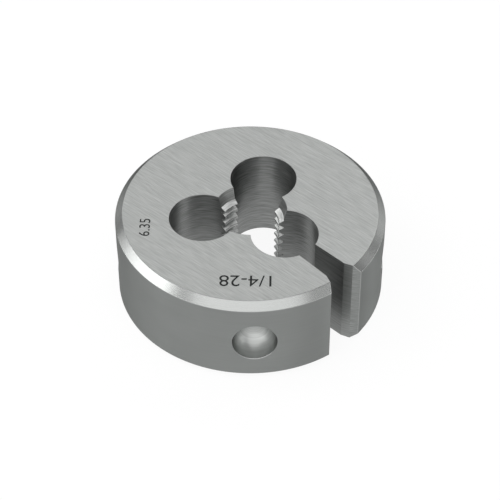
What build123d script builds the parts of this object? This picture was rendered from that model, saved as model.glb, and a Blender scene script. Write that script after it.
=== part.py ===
"""Round adjustable threading die: one ring of hardened tool steel.

The ring is split at one side, so that a screw can close or open it a little. Three chip
holes break into the threaded bore and leave three threaded lands, whose edges cut the
thread. The base face lies on Z = 0, the axis of the bore is Z, and the slit runs out
between +X and -Y.
"""
from build123d import *
import os
from math import ceil, cos, radians, sin, tan

# Ring, in millimetres
outer_diameter = 25.4
thickness = 9.525
rim_bevel = 0.7

# Cutting thread: right hand, 28 turns to the inch, with 60 degree flanks
thread_diameter = 6.35
thread_pitch = 25.4 / 28
thread_start_angle = -15.5
thread_flank_angle = 30.0

# Entry of the thread in the top face: a slim cone with a drill point floor
throat_diameter = 6.9
throat_floor_diameter = 6.3
throat_depth = 1.24
throat_point_angle = 120.0

# Countersink of the thread in the base face
back_countersink_diameter = 6.6
back_countersink_angle = 90.0

# Chip holes round the bore
chip_hole_count = 3
chip_hole_diameter = 6.3
chip_hole_centre_radius = 4.57

# Slit through the first chip hole, a little wider towards the rim
slit_angle = -45.0
slit_width = 2.3
slit_side_taper = 1.95

# Mouth of the slit: a narrow bevel and then a wider one, out to the rim
mouth_depth = 1.6
mouth_side_angle = 22.0
mouth_lead_depth = 0.8
mouth_lead_side_angle = 34.5

# Four ball-nosed seats in the rim for the points of the holder's screws
seat_diameter = 4.15
seat_depth = 2.3
seat_edge_break = 0.12
seat_angles_from_slit = (-132.1, -42.1, 42.1, 132.1)

# Worked out from the sizes above
outer_radius = outer_diameter / 2
thread_radius = thread_diameter / 2
flank_slope = tan(radians(thread_flank_angle))
sharp_thread_depth = thread_pitch / 2 / flank_slope
bore_radius = thread_radius - 5 / 8 * sharp_thread_depth

# How far a cutter reaches past the face that it opens
overrun = 1.0


def polar(radius, angle):
    """A point of the plan, from its radius and its angle in degrees."""
    return radius * cos(radians(angle)), radius * sin(radians(angle))


def turned(*points):
    """A solid of revolution about Z, from (radius, height) points."""
    return revolve(Plane.XZ * make_face(Polyline(*points, close=True)), Axis.Z)


def ring_blank():
    """The plain ring: a bevel round both faces, and the bore at the crests of the thread."""
    return turned(
        (bore_radius, 0),
        (outer_radius - rim_bevel, 0),
        (outer_radius, rim_bevel),
        (outer_radius, thickness - rim_bevel),
        (outer_radius - rim_bevel, thickness),
        (bore_radius, thickness),
    )


def chip_holes():
    """The drilled holes that let the chips out, the first one on the slit."""
    step = 360 / chip_hole_count
    drill = Cylinder(chip_hole_diameter / 2, thickness + 2 * overrun)
    places = [polar(chip_hole_centre_radius, slit_angle + i * step) for i in range(chip_hole_count)]
    return [Pos(x, y, thickness / 2) * drill for x, y in places]


def slit():
    """The slit from the first chip hole to the rim, and its two-stage mouth."""
    start = chip_hole_centre_radius
    mouth = outer_radius - mouth_depth
    lead = outer_radius - mouth_lead_depth
    end = outer_radius + overrun
    half_mouth = slit_width / 2
    half_start = half_mouth - (mouth - start) * tan(radians(slit_side_taper))
    half_lead = half_mouth + (lead - mouth) * tan(radians(mouth_side_angle))
    half_end = half_lead + (end - lead) * tan(radians(mouth_lead_side_angle))
    side = [(start, half_start), (mouth, half_mouth), (lead, half_lead), (end, half_end)]
    other_side = [(along, -across) for along, across in reversed(side)]
    outline = make_face(Polyline(*side, *other_side, close=True))
    cutter = extrude(outline, amount=thickness + 2 * overrun)
    return Pos(0, 0, -overrun) * Rot(0, 0, slit_angle) * cutter


def thread_groove():
    """The groove of the thread, one turn to a piece.

    Each turn starts and ends in the first chip hole, where there is nothing to cut. The
    section is the basic 60 degree form, with a flat root an eighth of the pitch wide.
    """
    inner_radius = bore_radius - 0.1
    root_half = thread_pitch / 16
    inner_half = root_half + (thread_radius - inner_radius) * flank_slope
    section = Plane.XZ * make_face(
        Polyline(
            (inner_radius, -inner_half),
            (thread_radius, -root_half),
            (thread_radius, root_half),
            (inner_radius, inner_half),
            close=True,
        )
    )
    path = Helix(pitch=thread_pitch, height=thread_pitch, radius=thread_radius)
    turn = Rot(0, 0, slit_angle) * sweep(section, path=path, is_frenet=True)
    first_height = thread_pitch * ((slit_angle - thread_start_angle) / 360 - 1)
    turn_count = ceil(thickness / thread_pitch) + 2
    return [Pos(0, 0, first_height + i * thread_pitch) * turn for i in range(turn_count)]


def throat():
    """Cutter for the entry: a slim cone down from the top face, and its drill point."""
    top_radius = throat_diameter / 2
    floor_radius = throat_floor_diameter / 2
    flare = (top_radius - floor_radius) / throat_depth
    floor_height = thickness - throat_depth
    point_depth = floor_radius / tan(radians(throat_point_angle / 2))
    return turned(
        (0, thickness + overrun),
        (top_radius + flare * overrun, thickness + overrun),
        (floor_radius, floor_height),
        (0, floor_height - point_depth),
    )


def back_countersink():
    """Cutter for the bevel of the bore in the base face."""
    radius = back_countersink_diameter / 2
    slope = tan(radians(back_countersink_angle / 2))
    return turned((0, -overrun), (radius + overrun * slope, -overrun), (0, radius / slope))


def screw_seats():
    """The ball-nosed seats round the rim, at mid height, each with its edge just broken."""
    radius = seat_diameter / 2
    ball_height = radius - seat_depth
    break_top = radius + seat_edge_break + overrun
    profile = [
        Line((0, overrun), (0, -seat_depth)),
        RadiusArc((0, -seat_depth), (radius, ball_height), -radius),
        Polyline(
            (radius, ball_height),
            (radius, -seat_edge_break),
            (break_top, overrun),
            (0, overrun),
        ),
    ]
    cutter = revolve(Plane.XZ * make_face(profile), Axis.Z)
    facing = Pos(outer_radius, 0, thickness / 2) * Rot(0, 90, 0) * cutter
    return [Rot(0, 0, slit_angle + turn) * facing for turn in seat_angles_from_slit]


def threading_die():
    """The whole ring, with every cut made in it."""
    die = ring_blank() - chip_holes()
    die -= slit()
    die -= thread_groove()
    die -= throat()
    die -= back_countersink()
    die -= screw_seats()
    return die


os.makedirs("parts", exist_ok=True)
die = threading_die()
export_step(die, "parts/threading_die.step")
print("solids", len(die.solids()), "faces", len(die.faces()), "volume", round(die.volume, 2))
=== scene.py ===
"""Looks of the round threading die: its machined steel, its plain numbers and the stage.

The ring is one closed surface. Its side is a grid of points. One way it runs round the
outline: round the rim, in along the slit, past the chip holes and the threaded lands, and
out again. The other way it runs up from the base face to the top face. Two flat faces close
it. Lengths are in metres and angles in radians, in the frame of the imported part.
"""

from math import cos, pi, radians, sin, tan
from typing import NamedTuple

import bmesh
import bpy
import numpy as np
from bpy.props import FloatProperty, FloatVectorProperty, PointerProperty, StringProperty
from mathutils import Matrix, Vector


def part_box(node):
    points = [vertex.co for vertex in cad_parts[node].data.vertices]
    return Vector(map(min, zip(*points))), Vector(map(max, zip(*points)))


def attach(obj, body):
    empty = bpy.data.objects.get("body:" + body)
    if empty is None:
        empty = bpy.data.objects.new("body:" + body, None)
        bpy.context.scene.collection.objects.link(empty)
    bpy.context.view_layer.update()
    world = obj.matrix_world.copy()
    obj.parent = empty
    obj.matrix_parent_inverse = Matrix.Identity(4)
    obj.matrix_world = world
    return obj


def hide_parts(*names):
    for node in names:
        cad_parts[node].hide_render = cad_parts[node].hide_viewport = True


bl_info = {
    "name": "Round Threading Die",
    "version": (1, 0, 0),
    "blender": (4, 5, 0),
    "location": "View3D > Sidebar > Threading Die",
    "description": "Builds a split round threading die of machined tool steel",
    "category": "Add Mesh",
}

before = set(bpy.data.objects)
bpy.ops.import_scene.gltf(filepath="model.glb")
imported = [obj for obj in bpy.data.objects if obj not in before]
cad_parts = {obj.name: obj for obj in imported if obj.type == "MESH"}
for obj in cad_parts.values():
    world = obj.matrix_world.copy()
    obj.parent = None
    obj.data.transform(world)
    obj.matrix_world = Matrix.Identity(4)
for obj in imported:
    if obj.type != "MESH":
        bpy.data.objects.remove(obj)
CAD_NODE = "threading_die"
CAD_LOW, CAD_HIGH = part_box(CAD_NODE)
MM = 0.001
INCH = 0.0254
# Points closer than this become one
WELD_DISTANCE = 1e-7
# The numbers are a film this thick on the top face, and reach the part's full height
MARK_THICKNESS = 0.005 * MM
# Centres of the numbers in the plan
FRONT_NUMBER = (-0.1 * MM, -9.4 * MM)
LEFT_NUMBER = (-9.7 * MM, -2.6 * MM)

# Faces of the ring, in the order of the material slots
FLAT, BEVEL, RIM, CHIP_HOLE, SLIT, MOUTH, LEAD, THREAD, THROAT, SEAT, EDGE = range(11)


class DieSizes(bpy.types.PropertyGroup):
    """Sizes of the ring"""

    outer_radius: FloatProperty(
        name="Outer radius",
        description="Radius of the ground rim",
        default=(CAD_HIGH.x - CAD_LOW.x) / 2,
        unit="LENGTH",
    )
    thickness: FloatProperty(
        name="Thickness",
        description="Height from the base face to the top face",
        default=CAD_HIGH.z - CAD_LOW.z - MARK_THICKNESS,
        unit="LENGTH",
    )
    rim_bevel: FloatProperty(
        name="Rim bevel",
        description="Height and width of the bevel round both faces",
        default=0.7 * MM,
        unit="LENGTH",
    )
    edge_round: FloatProperty(
        name="Edge round",
        description="How far the honed edges of the faces are rounded over",
        default=0.04 * MM,
        unit="LENGTH",
    )
    thread_radius: FloatProperty(
        name="Thread radius",
        description="Radius at the root of the thread groove",
        default=INCH / 8,
        unit="LENGTH",
    )
    thread_pitch: FloatProperty(
        name="Thread pitch",
        description="Rise of the thread in one turn",
        default=INCH / 28,
        unit="LENGTH",
    )
    thread_start: FloatProperty(
        name="Thread start",
        description="Azimuth at which the groove crosses the base face",
        default=radians(-15.5),
        subtype="ANGLE",
    )
    throat_radius: FloatProperty(
        name="Throat radius",
        description="Radius of the thread's entry at the top face",
        default=3.45 * MM,
        unit="LENGTH",
    )
    throat_floor_radius: FloatProperty(
        name="Throat floor radius",
        description="Radius of the thread's entry at its floor",
        default=3.15 * MM,
        unit="LENGTH",
    )
    throat_depth: FloatProperty(
        name="Throat depth",
        description="Depth of the entry's floor below the top face",
        default=1.24 * MM,
        unit="LENGTH",
    )
    throat_point_angle: FloatProperty(
        name="Throat point angle",
        description="Angle across the drill point under the entry",
        default=radians(120),
        subtype="ANGLE",
    )
    countersink_radius: FloatProperty(
        name="Countersink radius",
        description="Radius of the thread's countersink in the base face",
        default=3.3 * MM,
        unit="LENGTH",
    )
    chip_hole_radius: FloatProperty(
        name="Chip hole radius",
        description="Radius of each chip hole",
        default=3.15 * MM,
        unit="LENGTH",
    )
    chip_hole_place: FloatProperty(
        name="Chip hole place",
        description="Distance of each chip hole's centre from the axis",
        default=4.57 * MM,
        unit="LENGTH",
    )
    slit_angle: FloatProperty(
        name="Slit angle",
        description="Azimuth of the slit",
        default=radians(-45),
        subtype="ANGLE",
    )
    slit_width: FloatProperty(
        name="Slit width",
        description="Width of the slit where its mouth starts",
        default=2.3 * MM,
        unit="LENGTH",
    )
    slit_taper: FloatProperty(
        name="Slit taper",
        description="Angle of each side of the slit",
        default=radians(1.95),
        subtype="ANGLE",
    )
    mouth_depth: FloatProperty(
        name="Mouth depth",
        description="Distance from the rim to the start of the mouth",
        default=1.6 * MM,
        unit="LENGTH",
    )
    mouth_angle: FloatProperty(
        name="Mouth angle",
        description="Angle of the mouth's inner bevel",
        default=radians(22),
        subtype="ANGLE",
    )
    lead_depth: FloatProperty(
        name="Lead depth",
        description="Distance from the rim to the mouth's outer bevel",
        default=0.8 * MM,
        unit="LENGTH",
    )
    lead_angle: FloatProperty(
        name="Lead angle",
        description="Angle of the mouth's outer bevel",
        default=radians(34.5),
        subtype="ANGLE",
    )
    seat_radius: FloatProperty(
        name="Seat radius",
        description="Radius of the ball-nosed screw seats",
        default=2.075 * MM,
        unit="LENGTH",
    )
    seat_depth: FloatProperty(
        name="Seat depth",
        description="Depth of the screw seats in the rim",
        default=2.3 * MM,
        unit="LENGTH",
    )
    seat_break: FloatProperty(
        name="Seat edge",
        description="Width of the broken edge of the screw seats",
        default=0.12 * MM,
        unit="LENGTH",
    )
    seat_near_angle: FloatProperty(
        name="Near seats",
        description="Angle from the slit to the seats beside it",
        default=radians(42.1),
        subtype="ANGLE",
    )
    seat_far_angle: FloatProperty(
        name="Far seats",
        description="Angle from the slit to the other seats",
        default=radians(132.1),
        subtype="ANGLE",
    )


# Half of the angle between the thread's flanks
FLANK_ANGLE = radians(30)
# Shares of the pitch in the basic thread form: half the flat root, and root plus one flank
ROOT_HALF = 1 / 16
FLANK_END = 6 / 16
# Half the width, in pitches, over which the crest's corners are worn
CREST_WEAR = 0.3 / 16
CHIP_HOLES = 3
# Steps across a rounded edge, along a wall of the slit and along each bevel of its mouth
ROUND_STEPS = 3
SLIT_STEPS = 8
MOUTH_STEPS = 2
# Largest steps of the grid, as angles
RIM_STEP = radians(2)
HOLE_STEP = radians(3)
LAND_STEP = radians(2)
# Level rows at the countersink, and again at the drill point under the throat
LEVEL_ROWS = 6
# Grid cells across a screw seat and the rim round it, and half their width in seat radii
SEAT_CELLS = 44
SEAT_PATCH = 1.26
# Square rings of those cells outside the seat, and rings from its ball to its broken edge
OUTER_RINGS = 4
WALL_RINGS = 3
# Rounds in which a land's edge and a seat's broken edge settle
LAND_ROUNDS = 5
SEAT_ROUNDS = 4
# Faces whose slopes round to the same step, in degrees, are shaded as one surface
SLOPE_STEP = 15


def bezier(start, corner, end):
    """A corner rounded over: (1-t)^2 start + 2t(1-t) corner + t^2 end, with t from 0 to 1."""
    t = np.linspace(0, 1, ROUND_STEPS + 1)[:, None]
    start, corner, end = (np.asarray(p, float) for p in (start, corner, end))
    return (1 - t) ** 2 * start + 2 * t * (1 - t) * corner + t**2 * end


def blend(start, end, share):
    """Straight line between two arrays of points: share 0 gives start and 1 gives end."""
    share = np.asarray(share, float)
    share = share.reshape(share.shape + (1,) * np.ndim(start))
    return (1 - share) * start + share * end


def lines_meet(one, other):
    """Crossing of the lines v = a + m u and v = b + n u: u = (b - a) / (m - n)."""
    u = (other[0] - one[0]) / (one[1] - other[1])
    return u, one[0] + one[1] * u


def line_meets_circle(offset, slope, centre, radius):
    """Where the line v = offset + slope u leaves the circle (u - centre)^2 + v^2 = radius^2.

    The larger root of (1 + slope^2) u^2 + 2 (slope offset - centre) u + rest = 0."""
    a = 1 + slope**2
    b = slope * offset - centre
    rest = centre**2 + offset**2 - radius**2
    u = (-b + np.sqrt(b**2 - a * rest)) / a
    return u, offset + slope * u


def from_root(turns):
    """How far a number of turns is from the nearest root of the thread, in turns."""
    return np.abs(turns - np.round(turns))


def round_points(radii, azimuths, heights):
    """Points about the axis: (r cos a, r sin a, z)."""
    heights = np.broadcast_to(heights, azimuths.shape)
    return np.stack([radii * np.cos(azimuths), radii * np.sin(azimuths), heights], -1)


def turned(along, across, heights, azimuth):
    """Points given along and across a direction of the plan.

    x = along cos a - across sin a, and y = along sin a + across cos a."""
    x = along * cos(azimuth) - across * sin(azimuth)
    y = along * sin(azimuth) + across * cos(azimuth)
    return np.stack([x, y, heights], -1)


def square_rings(cells):
    """The rings of a square grid: each point's ring number, its angle, and its place on a unit square.

    The angle grows evenly along each side of a ring. On the right side it is b / a * pi / 4,
    and each other side is a quarter turn on."""
    line = np.linspace(-1, 1, cells + 1)
    a, b = np.meshgrid(line, line, indexing="ij")
    size = np.maximum(np.abs(a), np.abs(b))
    ring = np.rint(size * (cells // 2)).astype(int)
    sideways = np.abs(a) >= np.abs(b)
    a, b = (place / np.where(size > 0, size, 1) for place in (a, b))
    side = np.where(sideways, np.where(a >= 0, 0, pi), np.where(b >= 0, pi / 2, -pi / 2))
    angle = side + np.where(sideways, b * np.sign(a), -a * np.sign(b)) * pi / 4
    return ring, angle, a, b


class Outline:
    """The ring's outline, worked out at every row of the grid."""

    def __init__(self, sizes):
        self.sizes = sizes
        self.throat_floor = sizes.thickness - sizes.throat_depth
        self.bore_radius = self.thread_form(0.5)
        self.hole_azimuths = sizes.slit_angle + 2 * pi / CHIP_HOLES * np.arange(CHIP_HOLES + 1)
        rounding = bezier((sizes.edge_round, 0), (0, 0), (0, sizes.edge_round))
        self.low_round = rounding[:, 1]
        rows = len(self.row_heights(sizes.slit_angle))
        self.middle_row = rows // 2
        # How far each row lies outside the plain outline, where the faces' edges are rounded
        self.growth = np.zeros(rows)
        self.growth[: ROUND_STEPS + 1] = rounding[:, 0]
        self.growth[-ROUND_STEPS - 1 :] = rounding[::-1, 0]
        self.rim_radii, self.rim_heights, self.seat_row = self.rim_profile(rows)

    def thread_form(self, turns):
        """Radius at a number of turns from a root: flat root, straight flanks, flat crest."""
        sizes = self.sizes
        depth = (FLANK_END - ROOT_HALF) * sizes.thread_pitch / tan(FLANK_ANGLE)
        share = np.clip((from_root(turns) - ROOT_HALF) / (FLANK_END - ROOT_HALF), 0, 1)
        return sizes.thread_radius - share * depth

    def turns(self, azimuth, height):
        """Turns of the thread up to a point: height / pitch - azimuth from the start / 2 pi."""
        sizes = self.sizes
        return height / sizes.thread_pitch - (azimuth - sizes.thread_start) / (2 * pi)

    def land_radius(self, azimuth, height):
        """Radius of a land: the largest of the thread, the throat and the countersink.

        The throat ends in a drill point. The countersink's sides are at 45 degrees."""
        sizes = self.sizes
        above = height - self.throat_floor
        flare = (sizes.throat_radius - sizes.throat_floor_radius) / sizes.throat_depth
        point = tan(sizes.throat_point_angle / 2)
        throat = sizes.throat_floor_radius + np.where(above > 0, flare, point) * above
        countersink = sizes.countersink_radius - height
        thread = self.thread_form(self.turns(azimuth, height))
        return np.maximum(np.maximum(thread, throat), countersink)

    def row_heights(self, azimuth):
        """Heights of all rows at an azimuth, lowest first.

        Some rows follow the corners of the thread, which climb with the azimuth. The others
        are level, at the round edges, the countersink and the throat's floor. Sorting them
        lets a level row take over where a climbing one reaches it."""
        sizes = self.sizes
        azimuth = np.atleast_1d(np.asarray(azimuth, float))
        root_height = sizes.countersink_radius - sizes.thread_radius
        crest_height = sizes.countersink_radius - self.bore_radius
        floor = self.throat_floor
        point_depth = (sizes.throat_floor_radius - self.bore_radius) / tan(sizes.throat_point_angle / 2)
        corner = np.array([ROOT_HALF, FLANK_END - CREST_WEAR, FLANK_END + CREST_WEAR])
        corner = np.concatenate([-corner[::-1], corner])
        first_turn = (sizes.slit_angle - sizes.thread_start) / (2 * pi)
        lowest = root_height / sizes.thread_pitch - first_turn - 1
        highest = floor / sizes.thread_pitch - first_turn
        turns = np.arange(np.floor(lowest), np.ceil(highest) + 1)
        corners = (turns[:, None] + corner).ravel()
        corners = corners[(corners > lowest) & (corners < highest)]
        climb = (azimuth[:, None] - sizes.thread_start) / (2 * pi) + corners
        climbing = self.squeeze(climb * sizes.thread_pitch, root_height, floor)
        level = np.concatenate(
            [
                self.low_round,
                np.linspace(root_height, crest_height, LEVEL_ROWS),
                np.linspace(floor - point_depth, floor, LEVEL_ROWS),
                sizes.thickness - self.low_round[::-1],
            ]
        )
        level = np.broadcast_to(level, (len(azimuth), len(level)))
        rows = np.sort(np.concatenate([climbing, level], axis=1), axis=1)
        return rows if len(rows) > 1 else rows[0]

    def squeeze(self, height, low, high):
        """Draws heights outside low to high into the plain bands there: room * d / (d + pitch / 2)."""
        sizes = self.sizes
        soft = sizes.thread_pitch / 2
        under = np.maximum(low - height, 0)
        over = np.maximum(height - high, 0)
        room_under = low - sizes.edge_round
        room_over = sizes.thickness - sizes.edge_round - high
        inside = np.clip(height, low, high)
        return inside - room_under * under / (under + soft) + room_over * over / (over + soft)

    def rim_profile(self, rows):
        """Radius and height of each row on the rim, and the lowest row of the seats.

        The profile is a bevel between two rounded corners, the wall, and the same again."""
        sizes = self.sizes
        top, edge, slant = sizes.thickness, sizes.edge_round, sizes.edge_round * cos(pi / 4)
        inner, outer, low = sizes.outer_radius - sizes.rim_bevel, sizes.outer_radius, sizes.rim_bevel
        face_corner = bezier((inner - edge, 0), (inner, 0), (inner + slant, slant))
        wall_corner = bezier((outer - slant, low - slant), (outer, low), (outer, low + edge))
        bottom = np.concatenate([face_corner, wall_corner])
        upper = bottom[::-1] * (1, -1) + (0, top)
        spare = rows - 1 - 2 * (len(bottom) - 1) - SEAT_CELLS
        below = spare // 2
        half = SEAT_PATCH * sizes.seat_radius
        seat_low, seat_high = top / 2 - half, top / 2 + half
        middle = np.concatenate(
            [
                np.linspace(bottom[-1, 1], seat_low, below + 1)[1:-1],
                np.linspace(seat_low, seat_high, SEAT_CELLS + 1),
                np.linspace(seat_high, upper[0, 1], spare - below + 1)[1:-1],
            ]
        )
        radii = np.concatenate([bottom[:, 0], np.full(len(middle), outer), upper[:, 0]])
        heights = np.concatenate([bottom[:, 1], middle, upper[:, 1]])
        return radii, heights, len(bottom) - 1 + below

    def reach(self, radius):
        """Half the angle that a chip hole takes at a radius, by the law of cosines."""
        sizes = self.sizes
        hole = sizes.chip_hole_radius + self.growth
        part = radius**2 + sizes.chip_hole_place**2 - hole**2
        return np.arccos(part / (2 * radius * sizes.chip_hole_place))

    def half_opening(self):
        """Half the angle that a chip hole takes at the thread's roots, halfway up."""
        return self.reach(self.sizes.thread_radius)[self.middle_row]

    def land_edge(self, hole, side):
        """Azimuths of a land's edge at each row, and the heights there.

        The edge lies where the land meets the hole's wall. Its azimuth and its radius
        depend on each other, and a few rounds of one after the other settle them."""
        middle = hole + side * self.half_opening()
        heights = self.row_heights(middle)
        azimuths = np.full(len(heights), middle)
        for _ in range(LAND_ROUNDS):
            radius = self.land_radius(azimuths, heights) + self.growth
            azimuths = hole + side * self.reach(radius)
        return azimuths, heights

    def land(self, number):
        """A threaded land between two chip holes: radius from land_radius over azimuth and height."""
        hole, next_hole = self.hole_azimuths[number : number + 2]
        start, _ = self.land_edge(hole, 1)
        end, _ = self.land_edge(next_hole, -1)
        columns = round(abs(end[self.middle_row] - start[self.middle_row]) / LAND_STEP)
        share = np.linspace(0, 1, columns + 1)
        azimuths = blend(start, end, share)
        half = self.half_opening()
        heights = self.row_heights(blend(hole + half, next_hole - half, share))
        radii = self.land_radius(azimuths, heights) + self.growth
        return round_points(radii, azimuths, heights), self.land_zones(azimuths, heights)

    def land_zones(self, azimuths, heights):
        """Zones of a land's cells: worn corners of the crests, thread, and the throat above."""
        azimuth = (azimuths[:-1, :-1] + azimuths[1:, 1:]) / 2
        height = (heights[:-1, :-1] + heights[1:, 1:]) / 2
        turns = self.turns(azimuth, height)
        on_thread = self.land_radius(azimuth, height) <= self.thread_form(turns)
        worn = on_thread & (np.abs(from_root(turns) - FLANK_END) < CREST_WEAR)
        zones = np.where(worn, EDGE, THREAD)
        zones[height > self.throat_floor] = THROAT
        zones[:, :ROUND_STEPS] = zones[:, -ROUND_STEPS:] = EDGE
        return zones

    def hole_wall(self, hole, start, end):
        """Part of a chip hole's wall: a circle about the hole's centre, from one edge to another.

        Each edge is its angles about the centre and its heights, row by row."""
        sizes = self.sizes
        columns = round(abs(end[0][self.middle_row] - start[0][self.middle_row]) / HOLE_STEP)
        share = np.linspace(0, 1, columns + 1)
        angles = blend(start[0], end[0], share)
        heights = blend(start[1], end[1], share)
        radius = sizes.chip_hole_radius + self.growth
        along = sizes.chip_hole_place + radius * np.cos(angles)
        return turned(along, radius * np.sin(angles), heights, hole)

    def edge_about_hole(self, hole, side):
        """A land's edge as angles about the centre of the chip hole beside it, and heights."""
        azimuths, heights = self.land_edge(hole, side)
        radius = self.land_radius(azimuths, heights) + self.growth
        across = radius * np.sin(azimuths - hole)
        along = radius * np.cos(azimuths - hole) - self.sizes.chip_hole_place
        return np.arctan2(across, along), heights

    def slit_lines(self):
        """The slit's side and the mouth's two bevels as lines v = offset + slope u along the slit.

        Rounding the faces' edges moves a line outwards by growth * sqrt(1 + slope^2)."""
        sizes = self.sizes
        mouth = sizes.outer_radius - sizes.mouth_depth
        lead = sizes.outer_radius - sizes.lead_depth
        slopes = [tan(sizes.slit_taper), tan(sizes.mouth_angle), tan(sizes.lead_angle)]
        half_mouth = sizes.slit_width / 2
        half_lead = half_mouth + (lead - mouth) * slopes[1]
        starts = [(mouth, half_mouth), (mouth, half_mouth), (lead, half_lead)]
        lines = []
        for (u, v), slope in zip(starts, slopes):
            lines.append((v - slope * u + self.growth * np.sqrt(1 + slope**2), slope))
        return lines

    def slit_corners(self):
        """Corners of one side of the slit, row by row, and the angle at which the rim starts.

        The corners lie at the hole, at both bevels and at the end of the lead."""
        sizes = self.sizes
        side, bevel, lead = self.slit_lines()
        hole = line_meets_circle(*side, sizes.chip_hole_place, sizes.chip_hole_radius + self.growth)
        first = lines_meet(side, bevel)
        second = np.array(lines_meet(bevel, lead))
        bevel_end = np.array(line_meets_circle(*bevel, 0, self.rim_radii))
        lead_end = np.array(line_meets_circle(*lead, 0, self.rim_radii))
        inside = np.hypot(*second) < self.rim_radii
        second = np.where(inside, second, bevel_end)
        rim = np.where(inside, lead_end, bevel_end)
        # The corner at the rim is broken: the lead stops short of it, and the rim starts past it
        length = np.hypot(*(rim - second))
        short = np.minimum(sizes.edge_round / np.maximum(length, sizes.edge_round), 1)
        end = rim + (second - rim) * short
        opening = np.arctan2(rim[1], rim[0]) + sizes.edge_round / sizes.outer_radius
        return hole, first, second, end, opening

    def slit_side(self, side):
        """The slit's wall and the mouth's two bevels on one side, from the chip hole out to the rim."""
        hole, first, second, end, _ = self.slit_corners()
        azimuth = self.sizes.slit_angle + (0 if side > 0 else 2 * pi)
        inner_heights = self.row_heights(azimuth)
        heights = [inner_heights, inner_heights, self.rim_heights, self.rim_heights]
        corners = [
            turned(u, side * v, z, self.sizes.slit_angle)
            for (u, v), z in zip((hole, first, second, end), heights)
        ]
        wall, bevel, lead = (
            blend(start, end, np.linspace(0, 1, steps + 1))
            for start, end, steps in zip(corners, corners[1:], (SLIT_STEPS, MOUTH_STEPS, MOUTH_STEPS))
        )
        hole_edge = np.arctan2(side * hole[1], hole[0] - self.sizes.chip_hole_place)
        return wall, bevel, lead, (hole_edge, inner_heights)

    def seat_azimuths(self):
        """The four seats, two on either side of the slit, in order of azimuth from the slit."""
        sizes = self.sizes
        near, far = sizes.seat_near_angle, sizes.seat_far_angle
        return sizes.slit_angle + np.array([near, far, 2 * pi - far, 2 * pi - near])

    def rim_azimuths(self, opening):
        """Azimuth of each point of the rim's grid, and the first column of each seat's patch.

        The columns are evenly spaced between the seats, and across a seat's patch. Those
        beside the mouth lean with its edge, which the bevel moves."""
        sizes = self.sizes
        half = SEAT_PATCH * sizes.seat_radius
        patch = np.arcsin(np.linspace(-half, half, SEAT_CELLS + 1) / sizes.outer_radius)
        here = sizes.slit_angle + opening[self.middle_row]
        end = sizes.slit_angle + 2 * pi - opening[self.middle_row]
        runs, first_columns = [], []
        for seat in self.seat_azimuths():
            gap_end = seat + patch[0]
            gap = np.linspace(here, gap_end, 1 + round((gap_end - here) / RIM_STEP))
            runs.append(gap[:-1])
            first_columns.append(sum(len(run) for run in runs))
            runs.append(seat + patch[:-1])
            here = seat + patch[-1]
        runs.append(np.linspace(here, end, 1 + round((end - here) / RIM_STEP)))
        azimuths = np.repeat(np.concatenate(runs)[:, None], len(opening), axis=1)
        lean = opening - opening[self.middle_row]
        beside_start = slice(0, first_columns[0] + 1)
        beside_end = slice(first_columns[-1] + SEAT_CELLS, None)
        for columns, sign in ((beside_start, 1), (beside_end, -1)):
            run = azimuths[columns][::sign]
            run += (run - run[-1]) / (run[0] - run[-1]) * sign * lean
        return azimuths, first_columns

    def rim(self):
        """The rim: circles of rim_radii, with a square patch of the grid drawn into each seat."""
        azimuths, first_columns = self.rim_azimuths(self.slit_corners()[-1])
        grid = round_points(self.rim_radii, azimuths, self.rim_heights)
        zones = np.full((grid.shape[0] - 1, grid.shape[1] - 1), RIM)
        # At each face a bevel, one cell wide, lies between two rounded corners
        corner_cells = 2 * ROUND_STEPS + 1
        zones[:, :corner_cells] = zones[:, -corner_cells:] = EDGE
        zones[:, ROUND_STEPS] = zones[:, -ROUND_STEPS - 1] = BEVEL
        points, seat_zones = self.seat()
        low, high = self.seat_row, self.seat_row + SEAT_CELLS
        for azimuth, first in zip(self.seat_azimuths(), first_columns):
            last = first + SEAT_CELLS
            grid[first : last + 1, low : high + 1] = turned(*points, azimuth)
            zones[first:last, low:high] = seat_zones
        return grid, zones

    def rim_fall(self, across):
        """How far the rim has fallen away at a distance beside a seat's axis: R - sqrt(R^2 - d^2)."""
        return self.sizes.outer_radius - np.sqrt(self.sizes.outer_radius**2 - across**2)

    def seat(self):
        """A square patch of the rim drawn into a round seat.

        Square rings of the patch become circles inside the seat: the ball, its straight
        wall and the broken edge. Outside it they turn back to squares on the rim."""
        sizes = self.sizes
        ring, angle, a, b = square_rings(SEAT_CELLS)
        edge_ring = SEAT_CELLS // 2 - OUTER_RINGS
        ball_ring = edge_ring - WALL_RINGS
        wall_bottom = sizes.seat_depth - sizes.seat_radius
        from_pole = np.minimum(ring / ball_ring, 1) * pi / 2
        distance = sizes.seat_radius * np.sin(from_pole)
        depth = wall_bottom + sizes.seat_radius * np.cos(from_pole)
        wall_top = np.maximum(sizes.seat_break, self.rim_fall(distance * np.cos(angle)))
        depth = np.where(ring == ball_ring + 1, (wall_bottom + wall_top) / 2, depth)
        depth = np.where(ring == ball_ring + 2, wall_top, depth)
        # The broken edge ends where its cone meets the rim
        edge = np.full(angle.shape, sizes.seat_radius)
        for _ in range(SEAT_ROUNDS):
            fall = self.rim_fall(edge * np.cos(angle))
            edge = np.maximum(sizes.seat_radius, sizes.seat_radius + sizes.seat_break - fall)
        distance = np.where(ring < edge_ring, distance, edge)
        half = SEAT_PATCH * sizes.seat_radius
        share = np.clip((ring - edge_ring) / OUTER_RINGS, 0, 1)
        across = (1 - share) * distance * np.cos(angle) + share * a * half
        up = (1 - share) * distance * np.sin(angle) + share * b * half
        on_rim = np.sqrt(sizes.outer_radius**2 - across**2)
        along = np.where(ring < edge_ring, sizes.outer_radius - depth, on_rim)
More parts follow.
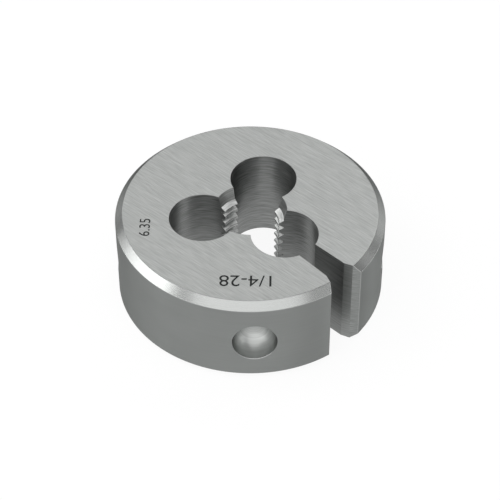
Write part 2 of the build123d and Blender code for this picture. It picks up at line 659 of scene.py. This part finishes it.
        # A cell belongs to the outermost ring that it touches
        outermost = np.maximum.reduce([ring[:-1, :-1], ring[1:, :-1], ring[:-1, 1:], ring[1:, 1:]])
        zones = np.where(outermost < edge_ring, SEAT, np.where(outermost == edge_ring, EDGE, RIM))
        return (along, across, up + sizes.thickness / 2), zones

    def sections(self):
        """All sections of the outline in order, each a grid of points with the zone of its cells."""
        holes = self.hole_azimuths
        rim, rim_zones = self.rim()
        wall_out, bevel_out, lead_out, slit_out = self.slit_side(1)
        wall_in, bevel_in, lead_in, slit_in = self.slit_side(-1)
        found = [(rim, rim_zones), (np.stack([rim[-1], lead_in[-1]]), EDGE)]
        found += [(lead_in[::-1], LEAD), (bevel_in[::-1], MOUTH), (wall_in[::-1], SLIT)]
        edge = self.edge_about_hole(holes[CHIP_HOLES], -1)
        found.append((self.hole_wall(holes[CHIP_HOLES], edge, slit_in)[::-1], CHIP_HOLE))
        for number in reversed(range(CHIP_HOLES)):
            land, land_zones = self.land(number)
            found.append((land[::-1], land_zones[::-1]))
            if number:
                start = self.edge_about_hole(holes[number], -1)
                end = self.edge_about_hole(holes[number], 1)
                found.append((self.hole_wall(holes[number], start, end)[::-1], CHIP_HOLE))
        edge = self.edge_about_hole(holes[0], 1)
        found.append((self.hole_wall(holes[0], slit_out, edge)[::-1], CHIP_HOLE))
        found += [(wall_out, SLIT), (bevel_out, MOUTH), (lead_out, LEAD)]
        found.append((np.stack([lead_out[-1], rim[0]]), EDGE))
        return found


def ring_mesh(outline):
    """The ring's mesh: all sections side by side as one closed band, and the two flat faces."""
    columns, zones, sections = [], [], []
    for number, (points, zone) in enumerate(outline.sections()):
        cells = (len(points) - 1, points.shape[1] - 1)
        if np.ndim(zone) == 0:
            zone = np.full(cells, zone)
            zone[:, :ROUND_STEPS] = zone[:, -ROUND_STEPS:] = EDGE
        columns.append(points[:-1])
        zones.append(zone)
        sections.append(np.full(cells, number))
    points = np.concatenate(columns)
    zones, sections = np.concatenate(zones), np.concatenate(sections)
    count, rows = points.shape[:2]
    index = np.arange(count * rows).reshape(count, rows)
    after = np.roll(index, -1, axis=0)
    quads = np.stack([index[:, :-1], after[:, :-1], after[:, 1:], index[:, 1:]], -1).reshape(-1, 4)
    mesh = bpy.data.meshes.new(CAD_NODE)
    faces = quads.tolist() + [index[:, -1].tolist(), index[::-1, 0].tolist()]
    mesh.from_pydata(points.reshape(-1, 3), [], faces)
    after_last = sections.max() + 1
    for name, values, ends in (
        ("zone", zones, (FLAT, FLAT)),
        ("section", sections, (after_last, after_last + 1)),
    ):
        layer = mesh.attributes.new(name, "INT", "FACE")
        layer.data.foreach_set("value", np.append(values, ends).astype(np.int32))
    weld(mesh)
    return mesh


def weld(mesh):
    """Joins points that lie on one spot, and drops faces and edges that have no area then."""
    work = bmesh.new()
    work.from_mesh(mesh)
    bmesh.ops.remove_doubles(work, verts=work.verts, dist=WELD_DISTANCE)
    bmesh.ops.dissolve_degenerate(work, edges=work.edges, dist=WELD_DISTANCE)
    work.to_mesh(mesh)
    work.free()


def read(collection, name, kind, width=1):
    """One value, or one vector of a given width, of each item of a mesh."""
    values = np.empty(len(collection) * width, kind)
    collection.foreach_get(name, values)
    return values if width == 1 else values.reshape(-1, width)


def sum_by(keys, vectors, used):
    """For each row, the sum of the used vectors over all rows that share its keys."""
    _, group = np.unique(np.stack(keys, 1), axis=0, return_inverse=True)
    group = group.ravel()
    sums = [np.bincount(group, vectors[:, axis] * used) for axis in range(3)]
    return np.stack(sums, 1)[group]


def zone_of_faces(mesh):
    """The zone of each face."""
    return read(mesh.attributes["zone"].data, "value", np.int32)


def round_wall_normals(place, zone, outline):
    """Normals of the rim and the chip holes, as exact cylinders: n = (x, y) / r about their axes.

    The rim's normals point out from the axis, and a chip hole's in to its centre."""
    holes = outline.hole_azimuths[:CHIP_HOLES]
    centres = outline.sizes.chip_hole_place * np.stack([np.cos(holes), np.sin(holes)], 1)
    to_centres = centres - place[:, None]
    nearest = np.argmin(np.linalg.norm(to_centres, axis=2), axis=1)
    inward = to_centres[np.arange(len(place)), nearest]
    level = np.where((zone == RIM)[:, None], place, inward)
    level /= np.linalg.norm(level, axis=1, keepdims=True)
    return np.column_stack([level, np.zeros(len(level))])


def set_normals(mesh, outline):
    """Gives each corner of a face its normal.

    A plain face shares its normals with the faces beside it that have its section and zone
    and slope alike, weighted by area. A rounded edge takes its normals from the plain faces
    on both sides, and so turns evenly from one to the other."""
    points = read(mesh.vertices, "co", np.float32, 3)
    corner = read(mesh.loops, "vertex_index", np.int32)
    face = np.repeat(np.arange(len(mesh.polygons)), read(mesh.polygons, "loop_total", np.int32))
    normals = read(mesh.polygons, "normal", np.float32, 3)[face]
    section = read(mesh.attributes["section"].data, "value", np.int32)[face]
    zone = zone_of_faces(mesh)[face]
    slope = np.degrees(np.arcsin(np.clip(normals[:, 2], -1, 1)))
    slope = np.where(zone == SEAT, 0, np.rint(slope / SLOPE_STEP)).astype(int)
    exact = ((zone == RIM) | (zone == CHIP_HOLE))[:, None]
    level = round_wall_normals(points[corner, :2], zone, outline)
    weighted = np.where(exact, level, normals) * read(mesh.polygons, "area", np.float32)[face, None]
    rounded = zone == EDGE
    found = sum_by((corner, section, zone, slope), weighted, ~rounded)
    between = sum_by((corner, section), weighted, rounded)
    beside = sum_by((corner, section), weighted, ~rounded)
    flat = sum_by((corner, np.zeros_like(corner)), weighted, zone == FLAT)
    # On a rounded edge a flat face counts most, then the plain faces beside it
    choices = ((between, rounded), (beside, rounded & beside.any(1)), (flat, rounded & flat.any(1)))
    for better, where in choices:
        found = np.where(where[:, None], better, found)
    mesh.normals_split_custom_set(found / np.linalg.norm(found, axis=1, keepdims=True))


def mark_seat_rings(mesh, outline):
    """Each point's distance from the axis of the seat nearest to it, as the attribute seat_ring."""
    sizes = outline.sizes
    x, y, z = read(mesh.vertices, "co", np.float32, 3).T
    azimuths = outline.seat_azimuths()[:, None]
    along = x * np.cos(azimuths) + y * np.sin(azimuths)
    across = y * np.cos(azimuths) - x * np.sin(azimuths)
    distance = np.where(along > 0, np.hypot(across, z - sizes.thickness / 2), sizes.outer_radius)
    layer = mesh.attributes.new("seat_ring", "FLOAT", "POINT")
    layer.data.foreach_set("value", distance.min(0).astype(np.float32))


def add_object(name, data):
    """A new object in the scene, which holds a mesh, a light or a camera."""
    made = bpy.data.objects.new(name, data)
    bpy.context.scene.collection.objects.link(made)
    return made


def node(tree, kind, inputs=(), **settings):
    """A new node with its settings made, and its inputs linked or set."""
    made = tree.nodes.new(kind)
    for name, value in settings.items():
        setattr(made, name, value)
    for key, value in dict(inputs).items():
        if isinstance(value, bpy.types.NodeSocket):
            tree.links.new(value, made.inputs[key])
        else:
            made.inputs[key].default_value = value
    return made


def new_group(name, inputs, outputs):
    """An empty shader node group with named inputs and outputs, and its two end nodes."""
    group = bpy.data.node_groups.new(name, "ShaderNodeTree")
    for label, kind in inputs:
        group.interface.new_socket(label, in_out="INPUT", socket_type=kind)
    for label, kind in outputs:
        group.interface.new_socket(label, in_out="OUTPUT", socket_type=kind)
    return group, node(group, "NodeGroupInput"), node(group, "NodeGroupOutput")


def new_material(name):
    """A material whose node tree is empty, and that tree."""
    material = bpy.data.materials.new(name)
    material.use_nodes = True
    material.node_tree.nodes.clear()
    return material, material.node_tree


def maths(tree, operation, *values):
    """The result of a Math node."""
    return node(tree, "ShaderNodeMath", dict(enumerate(values)), operation=operation).outputs[0]


def round_coordinates(sizes):
    """Node group: arc length round the axis, radius and height of a point. Its seam is in the slit."""
    group, start, end = new_group(
        "round_coordinates", [("Vector", "NodeSocketVector")], [("Vector", "NodeSocketVector")]
    )
    rotated = node(
        group,
        "ShaderNodeVectorRotate",
        {"Vector": start.outputs["Vector"], "Angle": pi - sizes.slit_angle},
        rotation_type="Z_AXIS",
    )
    parts = node(group, "ShaderNodeSeparateXYZ", {0: rotated.outputs[0]}).outputs
    angle = maths(group, "ARCTAN2", parts[1], parts[0])
    squares = [maths(group, "MULTIPLY", part, part) for part in (parts[0], parts[1])]
    radius = maths(group, "SQRT", maths(group, "ADD", *squares))
    arc = maths(group, "MULTIPLY", angle, sizes.outer_radius)
    vector = node(group, "ShaderNodeCombineXYZ", {0: arc, 1: radius, 2: parts[2]})
    group.links.new(vector.outputs[0], end.inputs["Vector"])
    return group


# Clouds of tone on the steel, per metre
CLOUD_SCALE = 300.0


def machining_lines():
    """Node group: fine lines left by a tool, on a faintly clouded steel.

    Noise is stretched to the length and width of the lines, and tone, roughness and bump
    follow it: tone = 1 + Tone * lines + Cloud * clouds."""
    group, start, end = new_group(
        "machining_lines",
        [
            ("Vector", "NodeSocketVector"),
            ("Scale", "NodeSocketVector"),
            ("Color", "NodeSocketColor"),
            ("Tone", "NodeSocketFloat"),
            ("Cloud", "NodeSocketFloat"),
            ("Roughness", "NodeSocketFloat"),
            ("Roughness Spread", "NodeSocketFloat"),
        ],
        [
            ("Color", "NodeSocketColor"),
            ("Roughness", "NodeSocketFloat"),
            ("Lines", "NodeSocketFloat"),
        ],
    )
    given = start.outputs
    scaled = node(
        group, "ShaderNodeVectorMath", {0: given["Vector"], 1: given["Scale"]}, operation="MULTIPLY"
    ).outputs[0]
    noise = {"Detail": 1.0, "Roughness": 0.5}
    fine = node(group, "ShaderNodeTexNoise", {**noise, "Vector": scaled, "Scale": 1.0})
    coarse = {**noise, "Vector": given["Vector"], "Scale": CLOUD_SCALE}
    cloud = node(group, "ShaderNodeTexNoise", coarse)
    lines = maths(group, "SUBTRACT", fine.outputs[0], 0.5)
    clouds = maths(group, "SUBTRACT", cloud.outputs[0], 0.5)
    tone = maths(group, "MULTIPLY_ADD", lines, given["Tone"], 1.0)
    tone = maths(group, "MULTIPLY_ADD", clouds, given["Cloud"], tone)
    color = node(group, "ShaderNodeVectorMath", {0: given["Color"], "Scale": tone}, operation="SCALE")
    rough = maths(group, "MULTIPLY_ADD", lines, given["Roughness Spread"], given["Roughness"])
    group.links.new(color.outputs[0], end.inputs["Color"])
    group.links.new(rough, end.inputs["Roughness"])
    group.links.new(lines, end.inputs["Lines"])
    return group


class Finish(NamedTuple):
    """How one kind of face was machined."""

    name: str
    # What the lines follow: the grinding, the round, the level plane or the rings of a seat
    along: str
    # Length, width and depth of the lines, in millimetres
    size: tuple
    # Name of its colour among the colours of the steel
    color: str
    # How far the lines and the clouds change the tone
    tone: float
    cloud: float
    # Mean roughness, and how far the lines change it
    roughness: float
    spread: float
    bump: float
    # How much more the light spreads across the lines than along them
    grain: float
    # How bright the steel stays where it is seen at a flat angle
    edge: float


# The finish of each kind of face, in the order of the material slots. The columns are name,
# along, size, color, tone, cloud, roughness, spread, bump, grain and edge. The colours of the
# rim, lead, chip holes, slit and mouth carry painted shade, and the thread's carries painted light.
FINISHES = (
    Finish("ground_face", "GRIND", (1.4, 0.045, 1), "ground", 0.85, 0.05, 0.36, 0.1, 0.22, 0.5, 0.8),
    Finish("turned_bevel", "ROUND", (3.0, 0.3, 0.3), "ground", 0.04, 0.04, 0.27, 0.0, 0.0, 0.4, 0.15),
    Finish("ground_rim_painted_shade", "ROUND", (5.0, 1, 0.12), "rim", 0.12, 0.1, 0.42, 0.1, 0.12, 0.9, 0.38),
    Finish("drilled_wall_painted_shade", "LEVEL", (1.4, 1.4, 0.06), "cut", 1.5, 0.15, 0.38, 0.3, 0.45, 0.5, 0.8),
    Finish("milled_slit_painted_shade", "LEVEL", (2.5, 2.5, 0.09), "slit", 0.9, 0.1, 0.36, 0.2, 0.5, 0.5, 0.8),
    Finish("milled_mouth_painted_shade", "LEVEL", (2.5, 2.5, 0.08), "mouth", 0.7, 0.1, 0.4, 0.15, 0.3, 0.5, 0.8),
    Finish("milled_lead_painted_shade", "LEVEL", (2.5, 2.5, 0.07), "rim", 2.0, 0.1, 0.4, 0.25, 0.6, 0.5, 0.8),
    Finish("cut_thread_painted_light", "LEVEL", (1.2, 1.2, 0.1), "thread", 1.1, 0.1, 0.46, 0.15, 0.2, 0.0, 0.8),
    Finish("turned_throat", "LEVEL", (2.0, 2.0, 0.09), "throat", 1.2, 0.1, 0.4, 0.2, 0.4, 0.5, 0.8),
    Finish("ball_seat", "SEAT", (0.12, 1, 1), "seat", 0.6, 0.15, 0.38, 0.15, 0.1, 0.3, 0.3),
    Finish("honed_edge", "LEVEL", (1, 1, 1), "edge", 0.1, 0.0, 0.34, 0.0, 0.0, 0.0, 0.2),
)
BUMP_HEIGHT = 0.01 * MM
# Azimuth along which the flat faces were ground
GRIND_ANGLE = radians(-41)


class FinishColors(bpy.types.PropertyGroup):
    """Colours of the steel for each kind of face. Those of the rim, chip holes, slit and mouth are
    darkened as painted shade, and that of the thread is lightened as painted light
    """

    ground: FloatVectorProperty(
        name="Ground steel",
        description="Colour of the ground faces and bevels",
        default=(0.41, 0.42, 0.412),
        subtype="COLOR",
    )
    # Painted shade: the same steel as the ground faces, made darker on the rim and the mouth's outer
    # bevel
    rim: FloatVectorProperty(
        name="Rim",
        description="Colour of the rim",
        default=(0.235, 0.244, 0.238),
        subtype="COLOR",
    )
    # Painted shade: the same steel as the ground faces, made darker inside the chip holes
    cut: FloatVectorProperty(
        name="Chip holes",
        description="Colour of the drilled walls",
        default=(0.24, 0.246, 0.242),
        subtype="COLOR",
    )
    # Painted shade: the same steel as the ground faces, made darker inside the slit
    slit: FloatVectorProperty(
        name="Slit",
        description="Colour of the slit's milled walls",
        default=(0.205, 0.211, 0.207),
        subtype="COLOR",
    )
    # Painted shade: the same steel as the ground faces, made darker on the mouth's inner bevels
    mouth: FloatVectorProperty(
        name="Mouth",
        description="Colour of the inner bevels of the slit's mouth",
        default=(0.25, 0.257, 0.252),
        subtype="COLOR",
    )
    # Painted light: the same steel as the ground faces, made lighter on the thread deep in the bore
    thread: FloatVectorProperty(
        name="Thread",
        description="Colour of the thread",
        default=(0.53, 0.54, 0.532),
        subtype="COLOR",
    )
    throat: FloatVectorProperty(
        name="Throat",
        description="Colour of the cone at the entry of the thread",
        default=(0.38, 0.388, 0.382),
        subtype="COLOR",
    )
    seat: FloatVectorProperty(
        name="Seats",
        description="Colour of the screw seats",
        default=(0.41, 0.42, 0.412),
        subtype="COLOR",
    )
    edge: FloatVectorProperty(
        name="Edges",
        description="Colour of the honed edges and the crests' worn corners",
        default=(0.33, 0.338, 0.332),
        subtype="COLOR",
    )
    mark: FloatVectorProperty(
        name="Numbers",
        description="Colour of the etched numbers",
        default=(0.018, 0.019, 0.0185),
        subtype="COLOR",
    )


def coordinates(tree, along, round_group):
    """The vector that a finish's lines follow, by the kind of line."""
    if along == "SEAT":
        ring = node(tree, "ShaderNodeAttribute", attribute_name="seat_ring")
        return node(tree, "ShaderNodeCombineXYZ", {0: ring.outputs["Fac"]}).outputs[0]
    place = node(tree, "ShaderNodeTexCoord").outputs["Object"]
    if along == "GRIND":
        turn = {"Vector": place, "Rotation": (0, 0, -GRIND_ANGLE)}
        return node(tree, "ShaderNodeMapping", turn, vector_type="POINT").outputs[0]
    if along == "ROUND":
        return node(tree, "ShaderNodeGroup", {"Vector": place}, node_tree=round_group).outputs[0]
    return place


def across_lines(tree, along):
    """The direction across a finish's lines, in which they spread the light."""
    across = (-sin(GRIND_ANGLE), cos(GRIND_ANGLE), 0) if along == "GRIND" else (0, 0, 1)
    kinds = {"vector_type": "VECTOR", "convert_from": "OBJECT", "convert_to": "WORLD"}
    return node(tree, "ShaderNodeVectorTransform", {"Vector": across}, **kinds).outputs[0]


def steel(finish, color, round_group, lines_group):
    """The material of one finish: bare steel, its tone, roughness and bump from the machining lines."""
    material, tree = new_material(finish.name)
    lines = node(
        tree,
        "ShaderNodeGroup",
        {
            "Vector": coordinates(tree, finish.along, round_group),
            "Scale": [1 / (MM * length) for length in finish.size],
            "Color": (*color, 1),
            "Tone": finish.tone,
            "Cloud": finish.cloud,
            "Roughness": finish.roughness,
            "Roughness Spread": finish.spread,
        },
        node_tree=lines_group,
    ).outputs
    bump = node(
        tree,
        "ShaderNodeBump",
        {"Height": lines["Lines"], "Strength": finish.bump, "Distance": BUMP_HEIGHT},
    )
    shader = node(
        tree,
        "ShaderNodeBsdfPrincipled",
        {
            "Base Color": lines["Color"],
            "Roughness": lines["Roughness"],
            "Metallic": 1.0,
            "Specular Tint": (finish.edge, finish.edge, finish.edge, 1),
            "Anisotropic": finish.grain,
            "Tangent": across_lines(tree, finish.along),
            "Normal": bump.outputs[0],
        },
    )
    node(tree, "ShaderNodeOutputMaterial", {0: shader.outputs[0]})
    return material


class DIE_OT_ring(bpy.types.Operator):
    """Build the ring with its thread, holes, slit and seats"""

    bl_idname = "die.ring"
    bl_label = "Ring"

    def execute(self, context):
        sizes = context.scene.die_sizes
        colors = context.scene.die_colors
        outline = Outline(sizes)
        mesh = ring_mesh(outline)
        set_normals(mesh, outline)
        mark_seat_rings(mesh, outline)
        groups = (round_coordinates(sizes), machining_lines())
        for finish in FINISHES:
            mesh.materials.append(steel(finish, getattr(colors, finish.color), *groups))
        mesh.polygons.foreach_set("material_index", zone_of_faces(mesh))
        ring = add_object("die_body", mesh)
        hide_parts(CAD_NODE)
        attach(ring, "root")
        return {"FINISHED"}


class MarkSettings(bpy.types.PropertyGroup):
    """The plain numbers on the top face"""

    front_text: StringProperty(
        name="Front number", description="Number on the front of the top face", default="1/4-28"
    )
    left_text: StringProperty(
        name="Left number", description="Number on the left of the top face", default="6.35"
    )
    front_height: FloatProperty(
        name="Front height",
        description="Height of the front number's digits",
        default=1.45 * MM,
        unit="LENGTH",
    )
    left_height: FloatProperty(
        name="Left height",
        description="Height of the left number's digits",
        default=1.05 * MM,
        unit="LENGTH",
    )


# Digits of the built-in font are 0.73 of the text size high
DIGIT_HEIGHT = 0.73
# Steps in each curve of a digit
DIGIT_STEPS = 6
# Speckles in the etching, per metre
SPECKLE_SCALE = 9000.0


def number_mesh(text, height, centre, turn):
    """A number as a thin plate on the top face, about its centre, turned in the plan."""
    curve = bpy.data.curves.new(text, "FONT")
    curve.body = text
    curve.size = height / DIGIT_HEIGHT
    curve.align_x = "CENTER"
    curve.align_y = "CENTER"
    curve.extrude = MARK_THICKNESS / 2
    curve.resolution_u = DIGIT_STEPS
    holder = bpy.data.objects.new(text, curve)
    mesh = bpy.data.meshes.new_from_object(holder)
    bpy.data.objects.remove(holder)
    bpy.data.curves.remove(curve)
    top = CAD_HIGH.z - MARK_THICKNESS / 2
    mesh.transform(Matrix.Translation((*centre, top)) @ Matrix.Rotation(turn, 4, "Z"))
    return mesh


def etched_material(color):
    """Dark, matt etching with a fine speckle: colour * (noise + 0.5)."""
    material, tree = new_material("etched_number")
    place = node(tree, "ShaderNodeTexCoord").outputs["Object"]
    noise = {"Vector": place, "Scale": SPECKLE_SCALE, "Detail": 2.0}
    speckle = node(tree, "ShaderNodeTexNoise", noise).outputs[0]
    tone = maths(tree, "MULTIPLY_ADD", speckle, 1.0, 0.5)
    speckled = node(tree, "ShaderNodeVectorMath", {0: color, "Scale": tone}, operation="SCALE")
    shader = node(
        tree,
        "ShaderNodeBsdfPrincipled",
        {"Base Color": speckled.outputs[0], "Roughness": 0.7, "Specular IOR Level": 0.15},
    )
    node(tree, "ShaderNodeOutputMaterial", {0: shader.outputs[0]})
    return material


class DIE_OT_numbers(bpy.types.Operator):
    """Put the etched numbers on the top face"""

    bl_idname = "die.numbers"
    bl_label = "Numbers"

    def execute(self, context):
        marks = context.scene.die_marks
        material = etched_material(context.scene.die_colors.mark)
        for name, text, height, centre, turn in (
            ("number_front", marks.front_text, marks.front_height, FRONT_NUMBER, pi),
            ("number_left", marks.left_text, marks.left_height, LEFT_NUMBER, pi / 2),
        ):
            mesh = number_mesh(text, height, centre, turn)
            mesh.materials.append(material)
            piece = add_object(name, mesh)
            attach(piece, "root")
        return {"FINISHED"}


class StageSettings(bpy.types.PropertyGroup):
    """Floor, light and camera"""

    floor_color: FloatVectorProperty(
        name="Floor",
        description="Colour of the floor",
        default=(0.9, 0.9, 0.9),
        subtype="COLOR",
    )
    floor_lift: FloatProperty(
        name="Floor lift",
        description="Share of plain white in the floor, as seen and as mirrored",
        default=0.91,
        subtype="FACTOR",
    )
    sky: FloatVectorProperty(
        name="Room",
        description="Light from the room",
        default=(0.15, 0.15, 0.15),
        subtype="COLOR",
    )
    lens: FloatProperty(
        name="Focal length",
        description="Camera lens in millimetres",
        default=132.27,
        unit="CAMERA",
    )
    distance: FloatProperty(
        name="Camera distance",
        description="Distance from the camera to the middle of the ring",
        default=178.28 * MM,
        unit="LENGTH",
    )
    pitch: FloatProperty(
        name="Camera pitch",
        description="How far the camera looks down",
        default=radians(44.086),
        subtype="ANGLE",
    )
    heading: FloatProperty(
        name="Camera heading",
        description="Turn of the camera about the axis of the ring",
        default=radians(1.15),
        subtype="ANGLE",
    )
    roll: FloatProperty(
        name="Camera roll",
        description="Turn of the camera about its line of sight",
        default=radians(-0.132),
        subtype="ANGLE",
    )


# The camera's line of sight passes this far beside and above a point of the axis
SIGHT_ASIDE = -0.037 * MM
SIGHT_ABOVE = 2.524 * MM
SIGHT_HEIGHT = 0.7 * MM
# Width of the film in millimetres
SENSOR = 36.0
# Nearest and farthest that the camera sees, in metres
VIEW_RANGE = (0.01, 10.0)
FLOOR_SIZE = 3.0
FLOOR_GAP = 0.005 * MM
LIGHT_DISTANCE = 0.5

# Soft lights: azimuth from the front and elevation in degrees, width, height, brightness
SOFTBOXES = {
    "front": (0, 44, 0.74, 0.24, 1.4),
    "front_low": (-10, 17, 0.66, 0.24, 1.55),
    "front_high": (0, 68, 0.5, 0.16, 1.6),
    "front_left": (-56, 17, 0.24, 0.22, 1.7),
    "front_right": (38, 14, 0.28, 0.2, 1.1),
    "left": (-88, 26, 0.36, 0.2, 2.9),
    "left_back": (-114, 18, 0.12, 0.2, 1.3),
    "left_high": (-90, 52, 0.4, 0.2, 2.2),
    "back_left": (-146, 27, 0.18, 0.15, 3.0),
    "back": (180, 44, 0.4, 0.26, 1.1),
    "back_right": (135, 42, 0.3, 0.22, 2.6),
    "right_back": (128, 5, 0.25, 0.08, 1.0),
    "right_side": (98, 10, 0.12, 0.2, 0.5),
    "right_floor": (103, 3, 0.12, 0.05, 8.5),
    "right_low": (69, 11, 0.17, 0.2, 3.7),
    "right_front": (62, 38, 0.16, 0.2, 0.5),
    "top": (0, 90, 0.26, 0.26, 1.5),
}


def softbox(name, azimuth, elevation, width, height, brightness):
    """A flat area light that faces the ring. Its power is brightness * pi * area."""
    data = bpy.data.lights.new(name, "AREA")
    data.shape = "RECTANGLE"
    data.size, data.size_y = width, height
    data.energy = brightness * pi * width * height
    light = add_object(name, data)
    azimuth, elevation = radians(azimuth), radians(elevation)
    level = cos(elevation)
    outward = Vector((sin(azimuth) * level, -cos(azimuth) * level, sin(elevation)))
    light.location = outward * LIGHT_DISTANCE
    light.rotation_euler = outward.to_track_quat("Z", "Y").to_euler()


def floor_material(stage):
    """White card: a matt floor that keeps its shadows, lifted to white where it is seen or mirrored."""
    material, tree = new_material("floor_card")
    card = node(
        tree,
        "ShaderNodeBsdfPrincipled",
        {"Base Color": (*stage.floor_color, 1), "Roughness": 1.0, "Specular IOR Level": 0.0},
    )
    white = node(tree, "ShaderNodeEmission", {"Color": (1, 1, 1, 1), "Strength": 1.0})
    rays = node(tree, "ShaderNodeLightPath").outputs
    seen = maths(tree, "MAXIMUM", rays["Is Camera Ray"], rays["Is Glossy Ray"])
    seen = maths(tree, "MAXIMUM", seen, rays["Is Transmission Ray"])
    share = maths(tree, "MULTIPLY", seen, stage.floor_lift)
    mixed = node(tree, "ShaderNodeMixShader", {0: share, 1: card.outputs[0], 2: white.outputs[0]})
    node(tree, "ShaderNodeOutputMaterial", {0: mixed.outputs[0]})
    return material


def add_floor(stage):
    """A square of card just below the base face, so that the two never lie in one plane."""
    half = FLOOR_SIZE / 2
    corners = [(-half, -half), (half, -half), (half, half), (-half, half)]
    mesh = bpy.data.meshes.new("floor")
    mesh.from_pydata([(x, y, CAD_LOW.z - FLOOR_GAP) for x, y in corners], [], [(0, 1, 2, 3)])
    mesh.materials.append(floor_material(stage))
    return add_object("floor", mesh)


def camera(stage):
    """The camera at the photo's place: back and aside from the axis, and aimed down at the ring."""
    aim = Matrix.Rotation(stage.heading, 4, "Z") @ Matrix.Rotation(pi / 2 - stage.pitch, 4, "X")
    aim = aim @ Matrix.Rotation(stage.roll, 4, "Z")
    data = bpy.data.cameras.new("camera")
    data.lens = stage.lens
    data.sensor_width = SENSOR
    data.clip_start, data.clip_end = VIEW_RANGE
    view = add_object("camera", data)
    offset = Matrix.Translation((SIGHT_ASIDE, SIGHT_ABOVE, stage.distance))
    view.matrix_world = Matrix.Translation((0, 0, SIGHT_HEIGHT)) @ aim @ offset
    return view


class DIE_OT_stage(bpy.types.Operator):
    """Build the floor, the soft lights and the camera"""

    bl_idname = "die.stage"
    bl_label = "Stage"

    def execute(self, context):
        stage = context.scene.die_stage
        floor = add_floor(stage)
        for name, values in SOFTBOXES.items():
            softbox(name, *values)
        world = bpy.data.worlds.new("room")
        world.use_nodes = True
        background = world.node_tree.nodes["Background"]
        background.inputs["Color"].default_value = (*stage.sky, 1)
        context.scene.world = world
        context.scene.camera = camera(stage)
        context.scene.view_settings.view_transform = "Standard"
        return {"FINISHED"}


# Where the scene keeps each group of settings, its title in the panel, and its class
SETTINGS = (
    ("die_sizes", "Sizes", DieSizes),
    ("die_colors", "Colours", FinishColors),
    ("die_marks", "Numbers", MarkSettings),
    ("die_stage", "Stage", StageSettings),
)
STEPS = (DIE_OT_ring, DIE_OT_numbers, DIE_OT_stage)


class DIE_PT_panel(bpy.types.Panel):
    """Sizes, colours and steps of the die"""

    bl_idname = "DIE_PT_panel"
    bl_label = "Threading Die"
    bl_space_type = "VIEW_3D"
    bl_region_type = "UI"
    bl_category = "Threading Die"

    def draw(self, context):
        for name, title, _ in SETTINGS:
            group = getattr(context.scene, name)
            box = self.layout.box()
            box.label(text=title)
            for setting in group.__annotations__:
                box.prop(group, setting)
        for step in STEPS:
            self.layout.operator(step.bl_idname)


CLASSES = (*(group for _, _, group in SETTINGS), *STEPS, DIE_PT_panel)


def register():
    """Registers the classes, and gives the scene its settings."""
    for cls in CLASSES:
        bpy.utils.register_class(cls)
    for name, _, group in SETTINGS:
        setattr(bpy.types.Scene, name, PointerProperty(type=group))


def unregister():
    """Takes back what register made."""
    for name, _, _ in SETTINGS:
        delattr(bpy.types.Scene, name)
    for cls in reversed(CLASSES):
        bpy.utils.unregister_class(cls)


def main():
    """Builds the die and its stage."""
    register()
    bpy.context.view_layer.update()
    bpy.ops.die.ring()
    bpy.ops.die.numbers()
    bpy.ops.die.stage()


if __name__ == "__main__":
    main()
